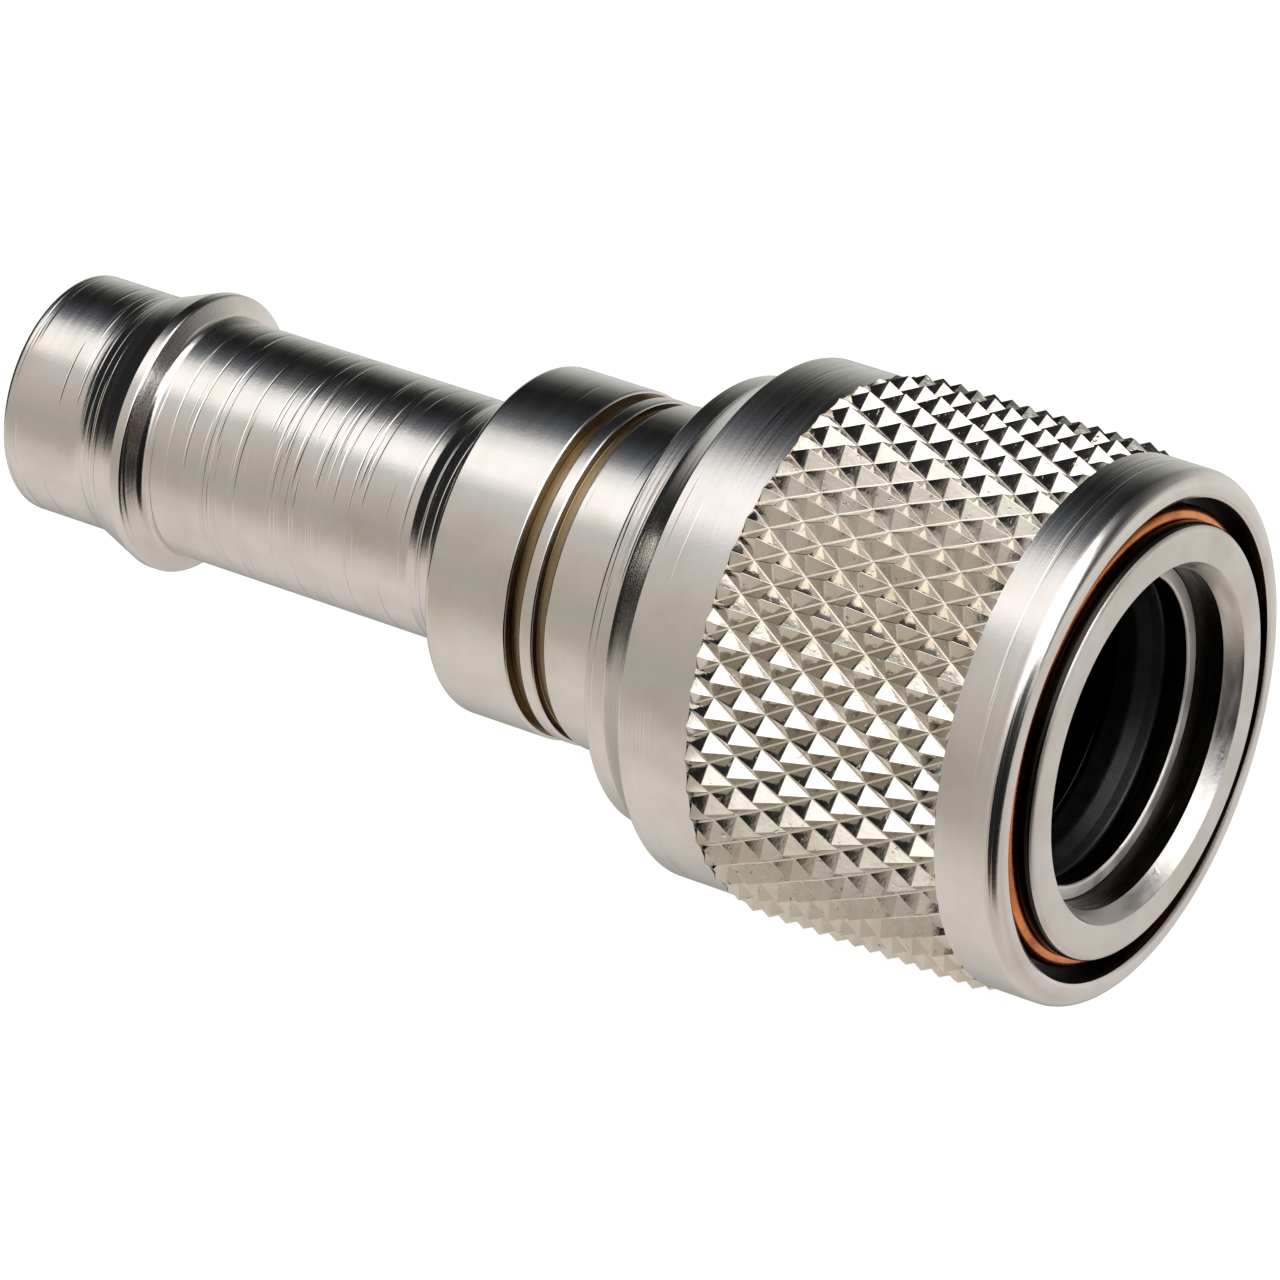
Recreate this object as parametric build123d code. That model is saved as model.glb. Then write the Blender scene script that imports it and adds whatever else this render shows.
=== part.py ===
from build123d import *
import os

# Female half of a push-pull quick coupling for 3/8 inch fuel hose.
# Millimetres. The axis lies along X and the mouth opens towards +X.
# The origin is on the axis, where the lead-in chamfer meets the entry bore.
# A pair of stations is given front first, then back.

# body: stations and radii
mouth_x = 0.7
mouth_edge_r = 7.217
ledge_x = -1.2
seal_x = (-2.2, -4.6)
ball_x = -7.3
body_step_x = -9.2
valve_web_x = (-11.3, -12.7)
clip_groove_x = (-17.0, -17.6)
barrel_end_x = -17.9
body_end_x = -22.37
entry_r = 6.8
bore_r = 6.2
body_r = 8.7
barrel_r = 7.3
body_collar_r = 7.1
chamber_r = 5.95
orifice_r = 4.0
seal_groove_depth = 1.15
clip_groove_depth = 0.35

# tail: stations and radii
tail_collar_x = (-24.12, -28.0)
rib_x = (-46.6, -44.3, -43.85, -43.4)
tail_end_x = -50.45
tail_groove_x = (-20.4, -21.6)
tail_collar_r = 7.2
shank_r = 4.97
tail_tip_r = 5.0
rib_r = 5.85
waterway_r = 3.6
funnel_r = 5.3
tail_groove_r = 4.9

# sleeve, which travels towards -X
sleeve_x = (0.4, -19.05)
sleeve_cone_x = -16.5
sleeve_flange_x = (-9.8, -10.6)
sleeve_recess_x = (-2.5, -4.3)
knurl_x = (-2.3, -13.4)
knurl_chamfer = 0.25
knurl_r = 11.0
front_band_r = 10.7
rear_band_r = 10.6
rear_edge_r = 9.16
lip_r = 9.63
lip_round = 0.65
skirt_r = 8.3
flange_r = 7.4
land_r = 8.745
front_land_r = 8.78
recess_step = 0.055

# locking balls, lifted by the cone in the sleeve
ball_count = 8
ball_r = 1.5
ball_circle_r = 7.2
ball_lift = 0.55
ball_clearance = 0.03

# snap ring, seals, springs and valve
snap_wire_r = 0.45
snap_ring_r = 8.75
snap_gap = 14.0
seal_bead = 0.25
washer_x = (-16.4, -17.0)
washer_r = 8.2
circlip_r = 8.05
circlip_gap = 20.0
sleeve_wire_r = 0.35
sleeve_coil_r = 7.8
sleeve_turns = 3.25
valve_wire_r = 0.225
valve_coil_r = 2.6
valve_turns = 2.75
tail_ring_r = 0.5
poppet_x = (-8.3, -19.9)
poppet_head_x = (-12.9, -14.3)
poppet_head_r = 5.3
poppet_groove_depth = 0.81
poppet_ring_r = 0.49
poppet_ring_mean_r = 4.45
front_stem_r = 1.6
rear_stem_r = 1.4
seat_plate_x = (-18.3, -19.1)
guide_r = 1.45
port_count = 6
port_r = 1.1
port_circle_r = 4.2
washer_flange = (0.51, 0.56)
washer_base_r = 6.75
face_gap = 0.02
fit_gap = 0.05


def turned(*corners, arc=360):
    """Revolve a closed outline of (x, r) or (x, r, corner radius) about the X axis."""
    points = [(c[0], c[1]) for c in corners]
    radii = [c[2] if len(c) > 2 else 0 for c in corners]
    outline = FilletPolyline(*points, radius=radii, close=True)
    return revolve(make_face(outline), Axis.X, arc)


def wire_ring(x, mean_r, wire_r, gap=0):
    """A ring of round section about the X axis, with its gap, in degrees, facing +Y."""
    section = Pos(x, mean_r) * Circle(wire_r)
    return Rot(gap / 2, 0, 0) * revolve(section, Axis.X, 360 - gap)


def coil(front_x, back_x, mean_r, wire_r, turns):
    """A compression spring between two faces square to the X axis."""
    height = front_x - back_x - 2 * wire_r
    path = Helix(height / turns, height, mean_r)
    section = Plane(path @ 0, z_dir=path % 0) * Circle(wire_r)
    spring = sweep(section, path=path, is_frenet=True)
    return Pos(back_x + wire_r, 0, 0) * Rot(0, 90, 0) * spring


def around(shape, count):
    """Copies of a shape, evenly spaced about the X axis."""
    return [Rot(360 * i / count, 0, 0) * shape for i in range(count)]


def socket_body():
    snap_groove_x = (face_gap, -2 * snap_wire_r - face_gap)
    snap_groove_r = snap_ring_r - snap_wire_r - face_gap
    clip_r = barrel_r - clip_groove_depth
    seal_r = bore_r + seal_groove_depth
    outer = [
        (mouth_x, mouth_edge_r), (mouth_x, body_r, 0.35), (snap_groove_x[0], body_r),
        (snap_groove_x[0], snap_groove_r), (snap_groove_x[1], snap_groove_r),
        (snap_groove_x[1], body_r), (body_step_x, body_r), (body_step_x, barrel_r),
        (clip_groove_x[0], barrel_r), (clip_groove_x[0], clip_r), (clip_groove_x[1], clip_r),
        (clip_groove_x[1], barrel_r), (barrel_end_x, barrel_r), (barrel_end_x, body_collar_r),
        (body_end_x, body_collar_r, 0.1),
    ]
    inner = [
        (body_end_x, chamber_r), (valve_web_x[1], chamber_r), (valve_web_x[1], orifice_r),
        (valve_web_x[0], orifice_r), (valve_web_x[0], bore_r), (seal_x[1], bore_r),
        (seal_x[1], seal_r), (seal_x[0], seal_r), (seal_x[0], bore_r), (ledge_x, bore_r),
        (ledge_x, entry_r), (0, entry_r),
    ]
    body = turned(*outer, *inner)
    for pocket in around(ball_pocket(), ball_count):
        body -= pocket
    return body


def ball_pocket():
    """A drilled hole with a round floor, so that the ball shows in the bore but can't fall in."""
    pocket_r = ball_r + ball_clearance
    middle = Pos(ball_x, 0, ball_circle_r)
    upwards = (Align.CENTER, Align.CENTER, Align.MIN)
    return middle * Sphere(pocket_r) + middle * Cylinder(pocket_r, 2 * ball_r, align=upwards)


def locking_balls():
    return around(Pos(ball_x, 0, ball_circle_r) * Sphere(ball_r), ball_count)


def snap_ring():
    return wire_ring(-snap_wire_r, snap_ring_r, snap_wire_r, snap_gap)


def bore_seal():
    """A square ring with a bead on its bore that grips the plug."""
    front, back = seal_x[0] - 2 * fit_gap, seal_x[1] + 2 * fit_gap
    middle = (front + back) / 2
    outer_r = bore_r + seal_groove_depth - fit_gap
    side_r = bore_r + 0.1
    return turned(
        (front, outer_r, 0.2), (front, side_r, 0.2), (middle + 0.6, bore_r),
        (middle, bore_r - seal_bead, 0.3), (middle - 0.6, bore_r),
        (back, side_r, 0.2), (back, outer_r, 0.2),
    )


def release_sleeve():
    front, rear = sleeve_x
    stop_x = -2 * snap_wire_r - face_gap
    recess_r = land_r + ball_lift + recess_step
    outer = [
        (front, lip_r + 0.17), (front, front_band_r, lip_round), (knurl_x[0], front_band_r),
        (knurl_x[0] - knurl_chamfer, knurl_r), (knurl_x[1] + knurl_chamfer, knurl_r),
        (knurl_x[1], rear_band_r), (sleeve_cone_x, rear_band_r, 0.3), (rear, rear_edge_r, 0.15),
    ]
    inner = [
        (rear, skirt_r + 0.25), (rear + 0.25, skirt_r), (sleeve_flange_x[1], skirt_r),
        (sleeve_flange_x[1], flange_r, 0.1), (sleeve_flange_x[0], flange_r, 0.1),
        (sleeve_flange_x[0], land_r), (ball_x, land_r), (sleeve_recess_x[1], land_r + ball_lift),
        (sleeve_recess_x[1], recess_r), (sleeve_recess_x[0], recess_r),
        (sleeve_recess_x[0], front_land_r), (stop_x, front_land_r), (stop_x, lip_r),
        (front - 0.1, lip_r),
    ]
    return turned(*outer, *inner)


def sleeve_spring():
    front, back = sleeve_flange_x[1] - face_gap, washer_x[0] + face_gap
    return coil(front, back, sleeve_coil_r, sleeve_wire_r, sleeve_turns)


def spring_washer():
    front, back = washer_x[0], washer_x[1] + face_gap
    inner_r = barrel_r + fit_gap
    return turned((front, inner_r), (front, washer_r, 0.1), (back, washer_r, 0.1), (back, inner_r))


def spring_circlip():
    """A flat open ring in the groove behind the washer."""
    front, back = clip_groove_x[0] - face_gap, clip_groove_x[1] + face_gap
    inner_r = barrel_r - clip_groove_depth + face_gap
    ring = turned(
        (front, inner_r), (front, circlip_r), (back, circlip_r), (back, inner_r),
        arc=360 - circlip_gap,
    )
    return Rot(circlip_gap / 2, 0, 0) * ring


def valve_poppet():
    front, back = poppet_head_x
    groove_x = front - poppet_groove_depth
    groove_half = poppet_ring_r + 0.04
    groove_in, groove_out = poppet_ring_mean_r - groove_half, poppet_ring_mean_r + groove_half
    return turned(
        (poppet_x[0], 0), (poppet_x[0], front_stem_r, 0.3), (front + 1.2, front_stem_r, 0.5),
        (front, 2.4), (front, groove_in), (groove_x, groove_in), (groove_x, groove_out),
        (front, groove_out), (front, poppet_head_r, 0.12), (back, poppet_head_r, 0.2),
        (back, rear_stem_r), (poppet_x[1], rear_stem_r, 0.3), (poppet_x[1], 0),
    )


def poppet_o_ring():
    x = poppet_head_x[0] - poppet_groove_depth + poppet_ring_r
    return wire_ring(x, poppet_ring_mean_r, poppet_ring_r)


def valve_spring():
    front, back = poppet_head_x[1] - face_gap, seat_plate_x[0] + face_gap
    return coil(front, back, valve_coil_r, valve_wire_r, valve_turns)


def valve_spring_seat():
    """A perforated plate that guides the poppet's stem and carries its spring."""
    front, back = seat_plate_x
    rim_r = chamber_r - fit_gap
    plate = turned((front, guide_r), (front, rim_r), (back, rim_r), (back, guide_r))
    port = Pos((front + back) / 2, 0, port_circle_r) * Rot(0, 90, 0) * Cylinder(port_r, 2)
    for hole in around(port, port_count):
        plate -= hole
    return plate


def tail_o_ring():
    return wire_ring(sum(tail_groove_x) / 2, tail_groove_r + tail_ring_r + face_gap, tail_ring_r)


def joint_washer():
    """A sealing ring between the body and the tail, with a raised middle."""
    front, back = body_end_x - face_gap, tail_collar_x[0] + face_gap
    flange_front, flange_back = front - washer_flange[0], back + washer_flange[1]
    return turned(
        (front, chamber_r), (front, washer_base_r), (flange_front, washer_base_r),
        (flange_front, body_collar_r, 0.1), (flange_back, body_collar_r, 0.1),
        (flange_back, washer_base_r), (back, washer_base_r), (back, chamber_r),
    )


def hose_tail():
    spigot_r = chamber_r - fit_gap
    spigot_x = seat_plate_x[1] - face_gap
    spigot = [
        (spigot_x, funnel_r), (spigot_x, spigot_r), (tail_groove_x[0], spigot_r),
        (tail_groove_x[0], tail_groove_r), (tail_groove_x[1], tail_groove_r),
        (tail_groove_x[1], spigot_r), (tail_collar_x[0], spigot_r),
    ]
    outside = [
        (tail_collar_x[0], tail_collar_r, 0.12), (tail_collar_x[1], tail_collar_r, 0.25),
        (tail_collar_x[1], shank_r, 0.2), (rib_x[3], shank_r, 0.3), (rib_x[2], rib_r, 0.15),
        (rib_x[1], rib_r, 0.15), (rib_x[0], tail_tip_r, 2.0), (tail_end_x, tail_tip_r, 0.25),
    ]
    waterway = [
        (tail_end_x, waterway_r + 0.3), (tail_end_x + 0.3, waterway_r),
        (spigot_x - 1.5, waterway_r),
    ]
    return turned(*spigot, *outside, *waterway)


def build():
    parts = {
        "hose_tail": hose_tail(),
        "joint_washer": joint_washer(),
        "tail_o_ring": tail_o_ring(),
        "socket_body": socket_body(),
        "snap_ring": snap_ring(),
        "bore_seal": bore_seal(),
        "release_sleeve": release_sleeve(),
        "sleeve_spring": sleeve_spring(),
        "spring_washer": spring_washer(),
        "spring_circlip": spring_circlip(),
        "valve_poppet": valve_poppet(),
        "poppet_o_ring": poppet_o_ring(),
        "valve_spring": valve_spring(),
        "valve_spring_seat": valve_spring_seat(),
    }
    for number, ball in enumerate(locking_balls(), start=1):
        parts[f"locking_ball_{number}"] = ball
    return parts


os.makedirs("parts", exist_ok=True)
for name, shape in build().items():
    export_step(shape, f"parts/{name}.step")
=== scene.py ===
import bmesh
import bpy
import math
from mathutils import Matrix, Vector


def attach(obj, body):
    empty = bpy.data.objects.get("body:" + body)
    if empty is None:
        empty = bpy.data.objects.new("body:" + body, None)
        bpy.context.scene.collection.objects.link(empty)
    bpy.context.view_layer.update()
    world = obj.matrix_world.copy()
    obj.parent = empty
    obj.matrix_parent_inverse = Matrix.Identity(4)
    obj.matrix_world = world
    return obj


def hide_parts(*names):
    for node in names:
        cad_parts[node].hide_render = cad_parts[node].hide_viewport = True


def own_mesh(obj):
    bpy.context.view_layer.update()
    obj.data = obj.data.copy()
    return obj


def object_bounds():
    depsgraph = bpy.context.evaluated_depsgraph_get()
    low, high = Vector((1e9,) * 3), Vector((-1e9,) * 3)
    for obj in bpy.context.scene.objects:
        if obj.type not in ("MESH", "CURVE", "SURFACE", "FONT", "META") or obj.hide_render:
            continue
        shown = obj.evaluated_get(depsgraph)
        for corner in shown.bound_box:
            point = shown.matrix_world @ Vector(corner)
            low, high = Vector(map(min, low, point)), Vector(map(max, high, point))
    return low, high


# Female half of a push-pull hose coupling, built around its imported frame.
# Lengths in the dictionaries are millimetres; the axis of the coupling is X.

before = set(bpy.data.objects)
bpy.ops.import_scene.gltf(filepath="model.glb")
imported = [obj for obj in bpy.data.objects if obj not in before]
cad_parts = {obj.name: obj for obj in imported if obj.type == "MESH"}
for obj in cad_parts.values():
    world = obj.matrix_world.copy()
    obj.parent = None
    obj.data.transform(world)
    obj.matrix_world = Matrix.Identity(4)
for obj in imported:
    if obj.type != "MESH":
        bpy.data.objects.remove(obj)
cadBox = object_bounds()
mm = 0.001
weld = 1e-6  # metres; points closer than this are one


def clearSelection():
    if bpy.context.object and bpy.context.object.mode != "OBJECT":
        bpy.ops.object.mode_set(mode="OBJECT")
    bpy.ops.object.select_all(action="DESELECT")


def makeActive(piece):
    clearSelection()
    piece.select_set(True)
    bpy.context.view_layer.objects.active = piece


def openMesh():
    # into edit mode with every vertex selected
    bpy.ops.object.mode_set(mode="EDIT")
    bpy.ops.mesh.select_mode(type="VERT")
    bpy.ops.mesh.select_all(action="SELECT")


def pick(piece, kind, test):
    # in edit mode: selects the vertices, edges or faces for which test(element) is true
    bpy.ops.mesh.select_mode(type={"verts": "VERT", "edges": "EDGE", "faces": "FACE"}[kind])
    bpy.ops.mesh.select_all(action="DESELECT")
    edit = bmesh.from_edit_mesh(piece.data)
    for element in getattr(edit, kind):
        if test(element):
            element.select_set(True)
    edit.select_flush_mode()
    bmesh.update_edit_mesh(piece.data)


def radius(point):
    return math.hypot(point.y, point.z) / mm


def linear(hexColour):
    channels = [int(hexColour[i:i + 2], 16) / 255 for i in (1, 3, 5)]
    return [c / 12.92 if c <= 0.04045 else ((c + 0.055) / 1.055) ** 2.4 for c in channels] + [1.0]


def addNode(tree, kind, settings=None, links=None):
    node = tree.nodes.new(kind)
    for name, value in (settings or {}).items():
        if isinstance(name, int) or name in node.inputs:
            node.inputs[name].default_value = value
        else:
            setattr(node, name, value)
    for name, source in (links or {}).items():
        tree.links.new(source, node.inputs[name])
    return node


def setRamp(node, stops):
    ramp = node.color_ramp
    ramp.elements.remove(ramp.elements[1])
    for i, (place, colour) in enumerate(stops):
        element = ramp.elements.new(place) if i else ramp.elements[0]
        element.position = place
        element.color = colour


cameraSettings = {
    "turn": 33.691,  # degrees from -Y towards +X
    "rise": 30.004,
    "distance": 309.91,
    "aimX": -22.57,
    "drop": 2.484,
    "lens": 221.1,
    "sensor": 36.0,
}


def addCamera(s):
    turn, rise = math.radians(s["turn"]), math.radians(s["rise"])
    back = Vector((math.sin(turn) * math.cos(rise), -math.cos(turn) * math.cos(rise), math.sin(rise)))
    side = Vector((math.cos(turn), math.sin(turn), 0))
    place = Vector((s["aimX"], 0, 0)) + back * s["distance"] - back.cross(side) * s["drop"]
    bpy.ops.object.camera_add(location=place * mm, rotation=(math.pi / 2 - rise, 0, turn))
    camera = bpy.context.object
    camera.data.lens = s["lens"]
    camera.data.sensor_width = s["sensor"]
    camera.data.clip_start = 0.01
    bpy.context.scene.camera = camera


# A light tent. Each stop is an angle about X: 0 at +Y, 90 overhead, -90 underneath, with the colour
# seen towards the hose end and towards the mouth end. A softbox hangs overhead, nearer the mouth, with a
# dark gap behind it, and the pale table is below. The tent is open, and dark, at two places.
tent = {
    "hoseEnd": [
        (-180, "#9B9890"), (-161, "#A19D94"), (-143, "#B9B6AE"), (-125, "#C3BFBC"), (-89, "#B9B6B2"),
        (-53, "#8A8985"), (-35, "#777570"), (-17, "#AEB0AF"), (1, "#979996"), (15, "#666864"),
        (27, "#303130"), (40, "#17181A"), (55, "#242629"), (67, "#42464B"), (76, "#73777B"),
        (86, "#D2D4D5"), (97, "#F1F1F1"), (112, "#F3F1F1"), (125, "#B7B8B7"), (150, "#ABA7A1"),
        (180, "#9B9890"),
    ],
    "mouthEnd": [
        (-180, "#807B76"), (-143, "#89857E"), (-107, "#8B8680"), (-89, "#928E8B"), (-53, "#878480"),
        (-17, "#999896"), (1, "#91908D"), (15, "#656563"), (27, "#484947"), (40, "#262727"),
        (55, "#232425"), (67, "#767878"), (76, "#FFFFFF"), (112, "#FFFFFF"), (137, "#D8D9DB"),
        (150, "#B1B1AF"), (163, "#93918E"), (180, "#807B76"),
    ],
    "join": (-0.35, 0.1),  # along X, where one end's colours turn into the other's
    "strength": (1.72, 3.0),
    "openings": [  # direction, cosines where the dark starts and is full, colour
        ((0.767, -0.634, -0.102), (0.70, 0.82), "#0C0C0D"),
        ((-0.98, 0.0, 0.2), (0.80, 0.90), "#1E1F20"),
    ],
}


def addTent(s):
    world = bpy.data.worlds.new("lightTent")
    bpy.context.scene.world = world
    world.use_nodes = True
    tree = world.node_tree
    tree.nodes.clear()
    direction = addNode(tree, "ShaderNodeTexCoord").outputs["Generated"]
    axes = addNode(tree, "ShaderNodeSeparateXYZ", links={0: direction})
    angle = addNode(tree, "ShaderNodeMath", {"operation": "ARCTAN2"},
                    {0: axes.outputs["Z"], 1: axes.outputs["Y"]})
    place = addNode(
        tree, "ShaderNodeMapRange", {"From Min": -math.pi, "From Max": math.pi}, {"Value": angle.outputs[0]}
    )
    ends = []
    for end in ("hoseEnd", "mouthEnd"):
        ramp = addNode(tree, "ShaderNodeValToRGB", links={"Fac": place.outputs["Result"]})
        setRamp(ramp, [((degrees + 180) / 360, linear(colour)) for degrees, colour in s[end]])
        ends.append(ramp.outputs["Color"])
    join = addNode(tree, "ShaderNodeMapRange", {
        "interpolation_type": "SMOOTHSTEP", "From Min": s["join"][0], "From Max": s["join"][1],
    }, {"Value": axes.outputs["X"]})
    colour = addNode(tree, "ShaderNodeMix", {"data_type": "RGBA"},
                     {0: join.outputs[0], 6: ends[0], 7: ends[1]})
    for way, (start, full), shade in s["openings"]:
        towards = addNode(tree, "ShaderNodeVectorMath", {"operation": "DOT_PRODUCT", 1: way}, {0: direction})
        inside = addNode(tree, "ShaderNodeMapRange", {
            "interpolation_type": "SMOOTHSTEP", "From Min": start, "From Max": full,
        }, {"Value": towards.outputs["Value"]})
        colour = addNode(tree, "ShaderNodeMix", {"data_type": "RGBA", 7: linear(shade)},
                         {0: inside.outputs[0], 6: colour.outputs[2]})
    strength = addNode(tree, "ShaderNodeMapRange", {
        "From Min": 0.0, "From Max": 1.0, "To Min": s["strength"][0], "To Max": s["strength"][1],
    }, {"Value": join.outputs[0]})
    glow = addNode(tree, "ShaderNodeBackground",
                   links={"Color": colour.outputs[2], "Strength": strength.outputs[0]})
    addNode(tree, "ShaderNodeOutputWorld", links={"Surface": glow.outputs[0]})
    bpy.context.scene.view_settings.view_transform = "Standard"


floorSettings = {"size": 3000.0, "glow": 0.97, "colour": "#5A5A5A"}


def addFloor(s):
    clearSelection()
    bpy.ops.mesh.primitive_plane_add(size=s["size"] * mm, location=(0, 0, cadBox[0][2]))
    floor = bpy.context.object
    floor.name = "floor"
    material = bpy.data.materials.new("whiteTableTop")
    material.use_nodes = True
    tree = material.node_tree
    tree.nodes.clear()
    paint = addNode(tree, "ShaderNodeBsdfPrincipled", {
        "Base Color": linear(s["colour"]), "Roughness": 0.9, "Specular IOR Level": 0.0,
        "Emission Color": (1, 1, 1, 1), "Emission Strength": s["glow"],
    })
    addNode(tree, "ShaderNodeOutputMaterial", links={"Surface": paint.outputs[0]})
    floor.data.materials.append(material)
    floor.visible_glossy = False  # the metal mirrors the tent, so no table edge shows in it


# Turned brass under a warm bright nickel plate: a tight mirror broken by fine lathe rings.
# rings are (spacing along X, distance round the piece over which they fade, depth), and cuts are
# the few deeper tool marks: (spacing, fade, how rare from 0 to 1, depth). clean and tarnish are the
# two tones of the plating, or where a finish below says so, painted shade or painted light; a finish
# without them takes those of nickelColours.
nickelFinishes = {
    "nickelCollar": {
        "rough": 0.13, "rings": [(0.40, 7.0, 0.0016), (0.12, 3.5, 0.0010)],
        "cuts": (0.5, 5.0, 0.62, 0.0030), "grain": 0.0010,
    },
    "nickelShank": {
        "rough": 0.14, "rings": [(0.50, 14.0, 0.0060), (0.16, 9.0, 0.0030)],
        "cuts": (0.34, 13.0, 0.56, 0.0080), "grain": 0.0016,
    },
    "nickelSleeve": {
        "rough": 0.17, "rings": [(0.28, 16.0, 0.0070), (0.11, 9.0, 0.0030)],
        "cuts": (0.4, 18.0, 0.60, 0.0060), "grain": 0.0012,
    },
    "nickelKnurl": {  # pressed by the knurling rolls, so slightly wavy; its darker, browner tones are painted shade
        "rough": 0.12, "rings": [(0.45, 0.45, 0.0060)], "cuts": (0.3, 0.3, 0.66, 0.0060), "grain": 0.0020,
        "clean": "#CBC4BA", "tarnish": "#A29685",
    },
    "knurlValleyHighlight": {  # a pale line down each valley, between the darker faces: painted highlight
        "rough": 0.42, "rings": [(0.30, 2.0, 0.0020)], "cuts": (0.3, 0.5, 0.68, 0.0030), "grain": 0.0030,
        "clean": "#E6E1D8", "tarnish": "#CFC6B8",
    },
    "nickelNose": {  # faced off and left satin
        "rough": 0.38, "rings": [(0.30, 2.0, 0.0020)], "cuts": (0.3, 0.5, 0.68, 0.0030), "grain": 0.0030,
    },
    "ledgeFace": {  # the bored step inside the mouth, coarser than the rest, so it spreads the light; its paler tones are painted light
        "rough": 0.55, "rings": [(0.30, 2.0, 0.0060)], "cuts": (0.3, 1.2, 0.60, 0.0080), "grain": 0.0040,
        "clean": "#F2EEEA", "tarnish": "#D8D0C6",
    },
    "shadedGroove": {  # darker and browner down in the grooves between parts: painted shade
        "rough": 0.30, "rings": [(0.20, 3.0, 0.0030)], "cuts": (0.3, 2.0, 0.66, 0.0040), "grain": 0.0020,
        "clean": "#8C7A5E", "tarnish": "#5E4A30",
    },
    "shadedWall": {  # machined walls in the gaps and facing inward, painted dark: painted shade
        "rough": 0.30, "rings": [(0.20, 3.0, 0.0030)], "cuts": (0.3, 2.0, 0.66, 0.0040), "grain": 0.0020,
        "clean": "#2E2A26", "tarnish": "#181513",
    },
}
nickelColours = {
    "clean": "#D3CECA", "tarnish": "#BDB2A2", "mottle": 2.4, "grainSize": 0.16,
    "stain": (0.45, 0.85, 0.6),  # mottle where the tarnish starts, where it is full, and how much it is then
    "cutEdge": 0.10,  # how softly a tool mark starts
    "roughSpread": (0.75, 1.35),
}


noiseSwing = 0.5  # the part of its whole range that a noise really covers


def addBump(tree, height, depth, normal):
    links = {"Height": height} | ({"Normal": normal} if normal else {})
    distance = depth * mm / noiseSwing
    return addNode(tree, "ShaderNodeBump", {"Strength": 1.0, "Distance": distance}, links).outputs[0]


def nickel(name):
    s, c = nickelFinishes[name], nickelColours
    material = bpy.data.materials.new(name)
    material.use_nodes = True
    tree = material.node_tree
    tree.nodes.clear()
    place = addNode(tree, "ShaderNodeTexCoord").outputs["Object"]
    normal = None
    bands = []
    spacing, fade, rare, cutDepth = s["cuts"]
    for step, spread, depth in s["rings"] + [(spacing, fade, 0)]:
        stretch = addNode(tree, "ShaderNodeMapping", {
            "Scale": (1 / (step * mm), 1 / (spread * mm), 1 / (spread * mm)),
        }, {"Vector": place})
        band = addNode(tree, "ShaderNodeTexNoise", {"Scale": 1.0, "Detail": 2.0, "Roughness": 0.55},
                       {"Vector": stretch.outputs[0]}).outputs["Fac"]
        bands.append(band)
        if depth:
            normal = addBump(tree, band, depth, normal)
    cuts = addNode(tree, "ShaderNodeMapRange", {
        "interpolation_type": "SMOOTHSTEP", "From Min": rare, "From Max": rare + c["cutEdge"],
        "To Min": 1.0, "To Max": 0.0,
    }, {"Value": bands[-1]})
    normal = addBump(tree, cuts.outputs[0], cutDepth, normal)
    grain = addNode(tree, "ShaderNodeTexNoise", {"Scale": 1 / (c["grainSize"] * mm), "Detail": 2.0},
                    {"Vector": place})
    normal = addBump(tree, grain.outputs["Fac"], s["grain"], normal)
    mottle = addNode(tree, "ShaderNodeTexNoise", {"Scale": 1 / (c["mottle"] * mm), "Detail": 4.0},
                     {"Vector": place})
    stainStart, stainFull, stainMost = c["stain"]
    stain = addNode(tree, "ShaderNodeMapRange", {
        "From Min": stainStart, "From Max": stainFull, "To Min": 0.0, "To Max": stainMost,
    }, {"Value": mottle.outputs["Fac"]})
    colour = addNode(tree, "ShaderNodeMix", {
        "data_type": "RGBA",
        6: linear(s.get("clean", c["clean"])), 7: linear(s.get("tarnish", c["tarnish"])),
    }, {0: stain.outputs[0]})
    rough = addNode(tree, "ShaderNodeMapRange", {
        "From Min": 0.3, "From Max": 0.7,
        "To Min": s["rough"] * c["roughSpread"][0], "To Max": s["rough"] * c["roughSpread"][1],
    }, {"Value": bands[0]})
    paint = addNode(tree, "ShaderNodeBsdfPrincipled", {"Metallic": 1.0}, {
        "Base Color": colour.outputs[2], "Roughness": rough.outputs[0], "Normal": normal,
    })
    addNode(tree, "ShaderNodeOutputMaterial", links={"Surface": paint.outputs[0]})
    return material


# Plain finishes: colour, its worn or dusty second tone, metallic, roughness, grain size and depth.
plainFinishes = {
    "copperWire": ("#DE8A50", "#A8542A", 1.0, 0.24, 0.20, 0.0020),  # drawn wire, bright and orange
    "springWire": ("#B9B7B3", "#8F8C86", 1.0, 0.28, 0.15, 0.0015),  # drawn stainless
    "ballSteel": ("#D6D6D6", "#B9B9B9", 1.0, 0.10, 0.30, 0.0003),  # ground and polished
    "bareBrass": ("#D2B26A", "#9C7C40", 1.0, 0.26, 0.20, 0.0020),  # turned, not plated
    "nitrileRubber": ("#0D0D0E", "#1C1B1A", 0.0, 0.42, 0.12, 0.0060),  # moulded, satin black
    "shadedBore": ("#2A2724", "#151311", 1.0, 0.30, 0.30, 0.0030),  # inside the bore, painted dark: painted shade
    "valveBlack": ("#0E0E0F", "#1E1C1A", 0.0, 0.30, 0.25, 0.0030),  # moulded acetal, slightly glossy
}


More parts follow.
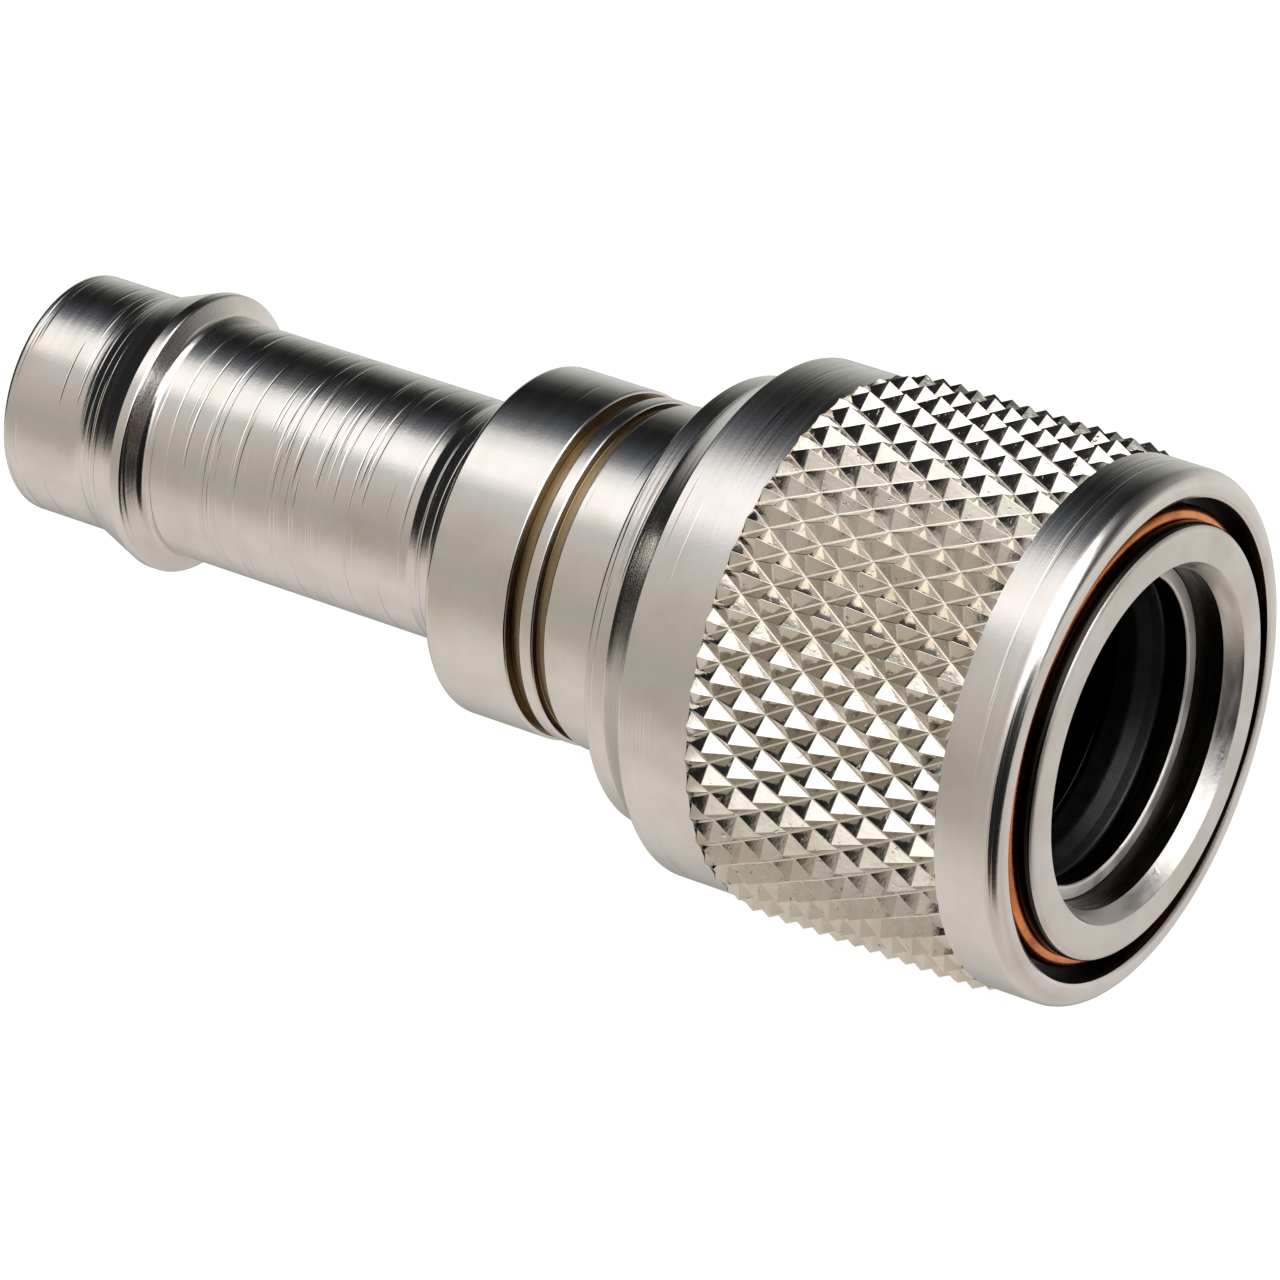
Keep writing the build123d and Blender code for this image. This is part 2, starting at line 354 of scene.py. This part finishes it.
def plain(name):
    clean, worn, metallic, roughness, grainSize, depth = plainFinishes[name]
    material = bpy.data.materials.new(name)
    material.use_nodes = True
    tree = material.node_tree
    tree.nodes.clear()
    place = addNode(tree, "ShaderNodeTexCoord").outputs["Object"]
    grain = addNode(tree, "ShaderNodeTexNoise", {"Scale": 1 / (grainSize * mm), "Detail": 3.0},
                    {"Vector": place})
    patch = addNode(tree, "ShaderNodeTexNoise", {"Scale": 1 / (8 * grainSize * mm), "Detail": 2.0},
                    {"Vector": place})
    bump = addNode(tree, "ShaderNodeBump", {"Strength": 1.0, "Distance": depth * mm},
                   {"Height": grain.outputs["Fac"]})
    wear = addNode(tree, "ShaderNodeMapRange", {"From Min": 0.4, "From Max": 0.75},
                   {"Value": patch.outputs["Fac"]})
    colour = addNode(tree, "ShaderNodeMix", {"data_type": "RGBA", 6: linear(clean), 7: linear(worn)},
                     {0: wear.outputs[0]})
    rough = addNode(tree, "ShaderNodeMapRange", {
        "From Min": 0.3, "From Max": 0.7, "To Min": roughness * 0.8, "To Max": roughness * 1.25,
    }, {"Value": grain.outputs["Fac"]})
    paint = addNode(tree, "ShaderNodeBsdfPrincipled", {"Metallic": metallic}, {
        "Base Color": colour.outputs[2], "Roughness": rough.outputs[0], "Normal": bump.outputs[0],
    })
    addNode(tree, "ShaderNodeOutputMaterial", links={"Surface": paint.outputs[0]})
    return material


finish = {name: nickel(name) for name in nickelFinishes} | {name: plain(name) for name in plainFinishes}
arcStep = math.radians(11)


def roundCorner(before, corner, after, size):
    # the arc that rounds a corner of an outline, as a few points
    towardsBefore, towardsAfter = (before - corner).normalized(), (after - corner).normalized()
    half = towardsBefore.angle(towardsAfter) / 2
    reach = size / math.tan(half)
    centre = corner + (towardsBefore + towardsAfter).normalized() * size / math.sin(half)
    start, end = corner + towardsBefore * reach - centre, corner + towardsAfter * reach - centre
    turn = start.angle_signed(end)
    steps = max(2, math.ceil(abs(turn) / arcStep))
    points = []
    for i in range(steps + 1):
        angle = -turn * i / steps
        points.append(centre + Vector((
            start.x * math.cos(angle) - start.y * math.sin(angle),
            start.x * math.sin(angle) + start.y * math.cos(angle),
        )))
    return points


def outlinePoints(corners, closed):
    flat = [Vector(c[:2]) for c in corners]
    points = []
    for i, corner in enumerate(corners):
        size = corner[2] if len(corner) > 2 else 0
        inside = closed or 0 < i < len(corners) - 1
        if size and inside:
            points += roundCorner(flat[i - 1], flat[i], flat[(i + 1) % len(flat)], size)
        else:
            points.append(flat[i])
    return points


def turnPiece(name, corners, closed=True, steps=192):
    # draws the outline by extruding a point, then spins it about X like work in a lathe
    points = outlinePoints(corners, closed)
    clearSelection()
    bpy.ops.mesh.primitive_plane_add(size=mm, location=(points[0].x * mm, points[0].y * mm, 0))
    piece = bpy.context.object
    piece.name = name
    bpy.ops.object.transform_apply(location=True, rotation=True, scale=True)
    openMesh()
    bpy.ops.mesh.merge(type="CENTER")
    for here, there in zip(points, points[1:]):
        step = (there - here) * mm
        bpy.ops.mesh.extrude_region_move(TRANSFORM_OT_translate={"value": (step.x, step.y, 0)})
    if closed:
        ends = [Vector((p.x * mm, p.y * mm, 0)) for p in (points[0], points[-1])]
        pick(piece, "verts", lambda v: min((v.co - end).length for end in ends) < weld / 10)
        bpy.ops.mesh.edge_face_add()
    bpy.ops.mesh.select_all(action="SELECT")
    bpy.ops.mesh.spin(steps=steps, angle=2 * math.pi, center=(0, 0, 0), axis=(1, 0, 0))
    bpy.ops.mesh.select_all(action="SELECT")
    bpy.ops.mesh.remove_doubles(threshold=weld)
    bpy.ops.mesh.normals_make_consistent(inside=False)
    bpy.ops.object.mode_set(mode="OBJECT")
    return piece


def smooth(piece, degrees=25):
    makeActive(piece)
    bpy.ops.object.shade_smooth_by_angle(angle=math.radians(degrees))


def paintFaces(piece, materials):
    # materials are (name, test on a face's centre); the first is for all faces
    makeActive(piece)
    for name, test in materials:
        piece.data.materials.append(finish[name])
    bpy.ops.object.mode_set(mode="EDIT")
    for index, (name, test) in enumerate(materials):
        if test:
            pick(piece, "faces", lambda f: test(f.calc_center_median()))
            piece.active_material_index = index
            bpy.ops.object.material_slot_assign()
    bpy.ops.object.mode_set(mode="OBJECT")


tail = {
    "spigotX": -19.12, "spigotR": 5.9, "groove": (-20.4, -21.6), "grooveR": 4.9,
    "collar": (-24.12, -28.0), "collarR": 7.2, "coneX": -30.35, "coneR": 5.85, "shankR": 4.97,
    "rib": (-43.4, -43.85, -44.3, -46.6), "ribR": 5.85, "tipR": 5.0, "endX": -50.45,
    "waterwayR": 3.6, "mouthEdge": 0.3, "funnelR": 5.3, "funnel": 1.5,
}


def makeTail(s):
    front, back = s["collar"]
    groove, rib = s["groove"], s["rib"]
    piece = turnPiece("hoseTail", [
        (s["spigotX"], s["funnelR"]), (s["spigotX"], s["spigotR"], 0.15),
        (groove[0], s["spigotR"], 0.05), (groove[0], s["grooveR"]), (groove[1], s["grooveR"]),
        (groove[1], s["spigotR"], 0.05), (front, s["spigotR"]), (front, s["collarR"], 0.12),
        (back, s["collarR"], 0.28), (back, s["coneR"]), (s["coneX"], s["shankR"], 0.4),
        (rib[0], s["shankR"], 0.35), (rib[1], s["ribR"], 0.14), (rib[2], s["ribR"], 0.16),
        (rib[3], s["tipR"], 2.0),
        (s["endX"], s["tipR"], 0.25), (s["endX"], s["waterwayR"] + s["mouthEdge"], 0.08),
        (s["endX"] + s["mouthEdge"], s["waterwayR"]), (s["spigotX"] - s["funnel"], s["waterwayR"]),
    ])
    paintFaces(piece, [
        ("nickelCollar", None),
        ("nickelShank", lambda p: p.x / mm < back - 0.1),
        # the grooves ahead of the collar are painted darker brown and the waterway dark: painted shade
        ("shadedGroove", lambda p: p.x / mm > front - 0.01 and radius(p) < s["collarR"] - 0.13),
        ("shadedBore", lambda p: radius(p) < s["waterwayR"] + 0.05 and p.x / mm > s["endX"] + 1.5),
    ])
    smooth(piece)
    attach(piece, "socket")
    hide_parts("hose_tail")
    print("tail done")


jointRing = {
    "front": -22.39, "back": -24.10, "boreR": 5.95, "baseR": 6.75, "flangeR": 7.1,
    "flange": (-22.9, -23.54),
}


def makeJointRing(s):
    front, back = s["flange"]
    piece = turnPiece("jointRing", [
        (s["front"], s["boreR"]), (s["front"], s["baseR"]), (front, s["baseR"], 0.05),
        (front, s["flangeR"], 0.12), (back, s["flangeR"], 0.12), (back, s["baseR"], 0.05),
        (s["back"], s["baseR"]), (s["back"], s["boreR"]),
    ])
    paintFaces(piece, [
        ("nickelCollar", None),
        # the ring's body beside its flange is painted darker brown: painted shade
        ("shadedGroove", lambda p: radius(p) < s["flangeR"] - 0.12),
    ])
    smooth(piece)
    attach(piece, "socket")
    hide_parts("joint_washer")
    print("joint ring done")


shell = {
    "mouthX": 0.7, "mouthR": 7.217, "bodyR": 8.7, "snapGroove": (0.02, -0.92), "snapGrooveR": 8.28,
    "stepX": -9.2, "barrelR": 7.3, "clipGroove": (-17.0, -17.6), "clipR": 6.95, "barrelEnd": -17.9,
    "collarR": 7.1, "endX": -22.37, "chamberR": 5.95, "web": (-11.3, -12.7), "orificeR": 4.0,
    "boreR": 6.2, "sealGroove": (-2.2, -4.6), "sealR": 7.35, "ledgeX": -1.2, "entryR": 6.8,
    "ballX": -7.3, "ballCircle": 7.2, "pocketR": 1.53, "balls": 8,
}


def drillPockets(piece, s):
    cutters = []
    for i in range(s["balls"]):
        angle = 2 * math.pi * i / s["balls"]
        out = Vector((0, -math.sin(angle), math.cos(angle)))
        seat = Vector((s["ballX"], 0, 0)) + out * s["ballCircle"]
        clearSelection()
        bpy.ops.mesh.primitive_uv_sphere_add(segments=32, ring_count=16, radius=s["pocketR"] * mm,
                                             location=seat * mm, rotation=(angle, 0, 0))
        cutter = bpy.context.object
        bpy.ops.object.transform_apply(location=True, rotation=True, scale=True)
        bpy.ops.object.mode_set(mode="EDIT")
        # the outer half of the ball is drawn out into the drilled hole
        pick(cutter, "faces", lambda f: (f.calc_center_median() / mm - seat).dot(out) > 0)
        bpy.ops.mesh.extrude_region_move(TRANSFORM_OT_translate={"value": out * 2 * s["pocketR"] * mm})
        bpy.ops.object.mode_set(mode="OBJECT")
        cutters.append(cutter)
    for cutter in cutters:
        makeActive(piece)
        drill = piece.modifiers.new("drill", "BOOLEAN")
        drill.object = cutter
        drill.solver = "EXACT"
        bpy.ops.object.modifier_apply(modifier="drill")
        bpy.data.objects.remove(cutter)


def makeShell(s):
    front, back = s["snapGroove"]
    clip, web, seal = s["clipGroove"], s["web"], s["sealGroove"]
    piece = turnPiece("socketShell", [
        (s["mouthX"], s["mouthR"], 0.04), (s["mouthX"], s["bodyR"], 0.35), (front, s["bodyR"], 0.08),
        (front, s["snapGrooveR"]), (back, s["snapGrooveR"]), (back, s["bodyR"], 0.05),
        (s["stepX"], s["bodyR"], 0.2), (s["stepX"], s["barrelR"]), (clip[0], s["barrelR"]),
        (clip[0], s["clipR"]), (clip[1], s["clipR"]), (clip[1], s["barrelR"]),
        (s["barrelEnd"], s["barrelR"], 0.06), (s["barrelEnd"], s["collarR"]),
        (s["endX"], s["collarR"], 0.12), (s["endX"], s["chamberR"]), (web[1], s["chamberR"]),
        (web[1], s["orificeR"], 0.1), (web[0], s["orificeR"], 0.2), (web[0], s["boreR"], 0.1),
        (seal[1], s["boreR"], 0.05), (seal[1], s["sealR"]), (seal[0], s["sealR"]),
        (seal[0], s["boreR"], 0.1), (s["ledgeX"], s["boreR"], 0.12), (s["ledgeX"], s["entryR"], 0.05),
        (0, s["entryR"], 0.12),
    ])
    drillPockets(piece, s)
    paintFaces(piece, [
        ("nickelCollar", None),
        # the walls near the mouth and the bore past the seal are painted dark, as painted shade; the step
        # inside the mouth is painted paler, as painted light
        ("shadedWall", lambda p: p.x / mm > -2.2 and radius(p) < 8.72),
        ("nickelNose", lambda p: p.x / mm > 0.01 and radius(p) < 8.6),
        ("ledgeFace", lambda p: abs(p.x / mm - s["ledgeX"]) < 0.1 and radius(p) < s["entryR"] - 0.05),
        ("shadedBore", lambda p: p.x / mm < seal[0] + 0.3 and radius(p) < s["clipR"]),
    ])
    smooth(piece)
    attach(piece, "socket")
    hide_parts("socket_body")
    print("socket shell done")


knurl = {
    "starts": 48, "rows": 6, "cell": 2.32, "valleyR": 10.42, "height": 0.605, "front": -2.3,
    "back": -13.4, "ridge": 0.018, "groove": 0.05, "chamfer": 0.3,
    "floor": 0.07, "peak": 0.405,  # above valleyR: edges below the one are grooves, over the other ridges
}
sleeve = {
    "front": 0.4, "rear": -19.05, "lipR": 9.63, "frontBandR": 10.7, "rearBandR": 10.6, "coneX": -16.5,
    "rearLand": (-18.05, 9.3), "rearEdgeR": 9.2, "skirtR": 8.3, "flange": (-9.8, -10.6), "flangeR": 7.4,
    "landR": 8.745, "ballX": -7.3, "recess": (-2.5, -4.3), "recessR": 9.35, "stopX": -0.92,
    "frontLandR": 8.78, "skirtX": -14.0,
}


def knurlBand(s):
    # a tube of cells becomes diamonds by poking each cell and dissolving its old edges,
    # and each diamond is poked again, outwards, into a pyramid
    start = (s["front"] + s["back"] - s["rows"] * s["cell"]) / 2
    clearSelection()
    bpy.ops.mesh.primitive_circle_add(vertices=s["starts"], radius=s["valleyR"] * mm,
                                      location=(start * mm, 0, 0), rotation=(0, math.pi / 2, 0))
    band = bpy.context.object
    bpy.ops.object.transform_apply(location=True, rotation=True, scale=True)
    openMesh()
    for row in range(s["rows"]):
        bpy.ops.mesh.extrude_region_move(TRANSFORM_OT_translate={"value": (s["cell"] * mm, 0, 0)})
    bpy.ops.mesh.select_all(action="SELECT")
    bpy.ops.mesh.normals_make_consistent(inside=False)
    bpy.ops.mesh.poke(offset=0.0, center_mode="MEDIAN")
    pick(band, "edges", lambda e: min(radius(v.co) for v in e.verts) > s["valleyR"] - 0.01)
    bpy.ops.mesh.dissolve_edges(use_verts=False)
    bpy.ops.mesh.select_all(action="SELECT")
    bpy.ops.mesh.poke(offset=s["height"] * mm, center_mode="MEDIAN")
    floor, peak = s["valleyR"] + s["floor"], s["valleyR"] + s["peak"]
    pick(band, "edges", lambda e: not e.is_boundary and max(radius(v.co) for v in e.verts) < floor)
    bpy.ops.mesh.bevel(offset=s["groove"] * mm, segments=2, affect="EDGES")
    pick(band, "edges", lambda e: not e.is_boundary and max(radius(v.co) for v in e.verts) > peak)
    bpy.ops.mesh.bevel(offset=s["ridge"] * mm, segments=2, affect="EDGES")
    for x, side in ((s["front"], 1), (s["back"], -1)):
        inner = x - side * s["chamfer"]
        bpy.ops.mesh.select_all(action="SELECT")
        bpy.ops.mesh.bisect(plane_co=(inner * mm, 0, 0), plane_no=(1, 0, 0))
        bpy.ops.mesh.select_all(action="SELECT")
        bpy.ops.mesh.bisect(plane_co=(x * mm, 0, 0), plane_no=(side, 0, 0), clear_outer=True)
    bpy.ops.object.mode_set(mode="OBJECT")
    return band


def chamferKnurl(piece, s):
    # the tips are turned down where the knurl meets the plain bands
    for vertex in piece.data.vertices:
        x = vertex.co.x / mm
        edge = min(abs(x - s["front"]), abs(x - s["back"]))
        if s["back"] - 0.001 <= x <= s["front"] + 0.001 and edge < s["chamfer"] - 0.001:
            limit = s["valleyR"] + s["height"] - s["chamfer"] + edge
            here = radius(vertex.co)
            if here > limit:
                vertex.co.y *= limit / here
                vertex.co.z *= limit / here


def makeSleeve(s, k):
    flange, recess = s["flange"], s["recess"]
    body = turnPiece("pullSleeve", [
        (k["front"], s["frontBandR"]), (s["front"], s["frontBandR"], 0.65),
        (s["front"], s["lipR"] + 0.17, 0.05), (s["front"] - 0.1, s["lipR"], 0.05), (s["stopX"], s["lipR"]),
        (s["stopX"], s["frontLandR"]), (recess[0], s["frontLandR"]), (recess[0], s["recessR"]),
        (recess[1], s["recessR"]), (recess[1], s["recessR"] - 0.055), (s["ballX"], s["landR"]),
        (flange[0], s["landR"]), (flange[0], s["flangeR"], 0.1), (flange[1], s["flangeR"], 0.1),
        (flange[1], s["skirtR"]), (s["rear"] + 0.25, s["skirtR"]), (s["rear"], s["skirtR"] + 0.25, 0.05),
        (s["rear"], s["rearEdgeR"], 0.15), (*s["rearLand"], 0.2), (s["coneX"], s["rearBandR"], 0.12),
        (k["back"], s["rearBandR"]),
    ], closed=False)
    band = knurlBand(k)
    chamferKnurl(band, k)
    makeActive(body)
    band.select_set(True)
    bpy.ops.object.join()
    bpy.ops.object.mode_set(mode="EDIT")
    for x in (k["front"], k["back"]):
        pick(body, "edges", lambda e: e.is_boundary and max(abs(v.co.x / mm - x) for v in e.verts) < 0.002)
        bpy.ops.mesh.bridge_edge_loops()
    bpy.ops.mesh.select_all(action="SELECT")
    bpy.ops.mesh.normals_make_consistent(inside=False)
    bpy.ops.object.mode_set(mode="OBJECT")

    def inner(p):  # the walls that face the body, painted dark: painted shade
        limit = s["lipR"] + 0.02 if p.x / mm > s["skirtX"] else s["skirtR"] + 0.1
        return s["rear"] + 0.3 < p.x / mm < s["front"] - 0.05 and radius(p) < limit

    def knurled(p):
        return k["back"] < p.x / mm < k["front"] and radius(p) > k["valleyR"] - 0.1

    # the inner walls are painted dark and the knurl faces darker, as painted shade; the knurl valleys are
    # painted pale, as painted highlight
    paintFaces(body, [
        ("nickelSleeve", None),
        ("shadedWall", inner),
        ("nickelKnurl", knurled),
        ("knurlValleyHighlight", lambda p: knurled(p) and radius(p) < k["valleyR"] + 0.03),
    ])
    smooth(body, 20)
    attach(body, "sleeve")
    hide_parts("release_sleeve")
    print("sleeve done")


snapRing = {"x": -0.45, "meanR": 8.75, "wireR": 0.45, "gap": 14.0}


def makeSnapRing(s):
    clearSelection()
    bpy.ops.mesh.primitive_torus_add(
        major_radius=s["meanR"] * mm, minor_radius=s["wireR"] * mm, major_segments=216, minor_segments=28,
        location=(s["x"] * mm, 0, 0), rotation=(0, math.pi / 2, 0),
    )
    ring = bpy.context.object
    ring.name = "copperSnapRing"
    bpy.ops.object.transform_apply(location=True, rotation=True, scale=True)
    bpy.ops.object.mode_set(mode="EDIT")
    half = math.radians(s["gap"] / 2 - 0.5)
    pick(ring, "verts", lambda v: abs(math.atan2(v.co.z, v.co.y)) < half)
    bpy.ops.mesh.delete(type="VERT")
    pick(ring, "edges", lambda e: e.is_boundary)
    bpy.ops.mesh.fill_holes(sides=0)
    pick(ring, "faces", lambda f: len(f.verts) > 4)
    bpy.ops.mesh.inset(thickness=0.08 * mm)
    bpy.ops.mesh.select_all(action="SELECT")
    bpy.ops.mesh.normals_make_consistent(inside=False)
    bpy.ops.object.mode_set(mode="OBJECT")
    paintFaces(ring, [("copperWire", None)])
    smooth(ring, 40)
    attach(ring, "socket")
    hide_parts("snap_ring")
    print("snap ring done")


seal = {"front": -2.3, "back": -4.5, "outerR": 7.3, "sideR": 6.3, "boreR": 6.2, "beadR": 5.95}


def makeSeal(s):
    middle = (s["front"] + s["back"]) / 2
    piece = turnPiece("boreSeal", [
        (s["front"], s["outerR"], 0.2), (s["front"], s["sideR"], 0.2), (middle + 0.6, s["boreR"], 0.2),
        (middle, s["beadR"], 0.3), (middle - 0.6, s["boreR"], 0.2), (s["back"], s["sideR"], 0.2),
        (s["back"], s["outerR"], 0.2),
    ])
    paintFaces(piece, [("nitrileRubber", None)])
    smooth(piece, 40)
    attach(piece, "socket")
    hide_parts("bore_seal")
    print("seal done")


# Springs: front and back faces, coil and wire radii, turns, the joint that squeezes them and what is left.
springs = {
    "sleeveCoil": {
        "node": "sleeve_spring", "front": -10.62, "back": -16.38, "coilR": 7.8, "wireR": 0.35, "turns": 3.25,
        "body": "sleeve_slider", "joint": "sleeve_slide", "travel": 3.0, "anchor": "front",
    },
    "valveCoil": {
        "node": "valve_spring", "front": -14.32, "back": -18.28, "coilR": 2.6, "wireR": 0.225, "turns": 2.75,
        "body": "socket", "joint": "valve_slide", "travel": 2.2, "anchor": "back",
    },
}


def makeSpring(name, s):
    length = s["front"] - s["back"]
    rise = length - 2 * s["wireR"]
    clearSelection()
    bpy.ops.mesh.primitive_circle_add(
        vertices=18, radius=s["wireR"] * mm, location=((s["back"] + s["wireR"]) * mm, 0, s["coilR"] * mm),
        rotation=(math.pi / 2, 0, 0),
    )
    coil = bpy.context.object
    coil.name = name
    bpy.ops.object.transform_apply(location=True, rotation=True, scale=True)
    wind = coil.modifiers.new("wind", "SCREW")
    wind.axis = "X"
    wind.angle = 2 * math.pi * s["turns"]
    wind.screw_offset = rise * mm
    wind.steps = wind.render_steps = round(64 * s["turns"])
    wind.use_merge_vertices = False
    bpy.ops.object.modifier_apply(modifier="wind")
    bpy.ops.object.mode_set(mode="EDIT")
    pick(coil, "edges", lambda e: e.is_boundary)
    bpy.ops.mesh.fill_holes(sides=0)
    bpy.ops.mesh.select_all(action="SELECT")
    bpy.ops.mesh.normals_make_consistent(inside=False)
    bpy.ops.object.mode_set(mode="OBJECT")
    paintFaces(coil, [("springWire", None)])
    smooth(coil, 40)
    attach(coil, s["body"])
    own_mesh(coil)
    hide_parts(s["node"])
    print(name, "done")


cadFinishes = {
    "tail_o_ring": "nitrileRubber", "poppet_o_ring": "nitrileRubber", "spring_washer": "springWire",
    "spring_circlip": "springWire", "valve_poppet": "valveBlack", "valve_spring_seat": "bareBrass",
}


def paintCadNodes():
    for name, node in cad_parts.items():
        chosen = "ballSteel" if name.startswith("locking_ball") else cadFinishes.get(name)
        if chosen:
            for i in range(len(node.material_slots)):
                node.material_slots[i].material = finish[chosen]
    print("carried nodes painted")


addCamera(cameraSettings)
addTent(tent)
addFloor(floorSettings)
makeTail(tail)
makeJointRing(jointRing)
makeShell(shell)
makeSleeve(sleeve, knurl)
makeSnapRing(snapRing)
makeSeal(seal)
for springName, springSizes in springs.items():
    makeSpring(springName, springSizes)
paintCadNodes()
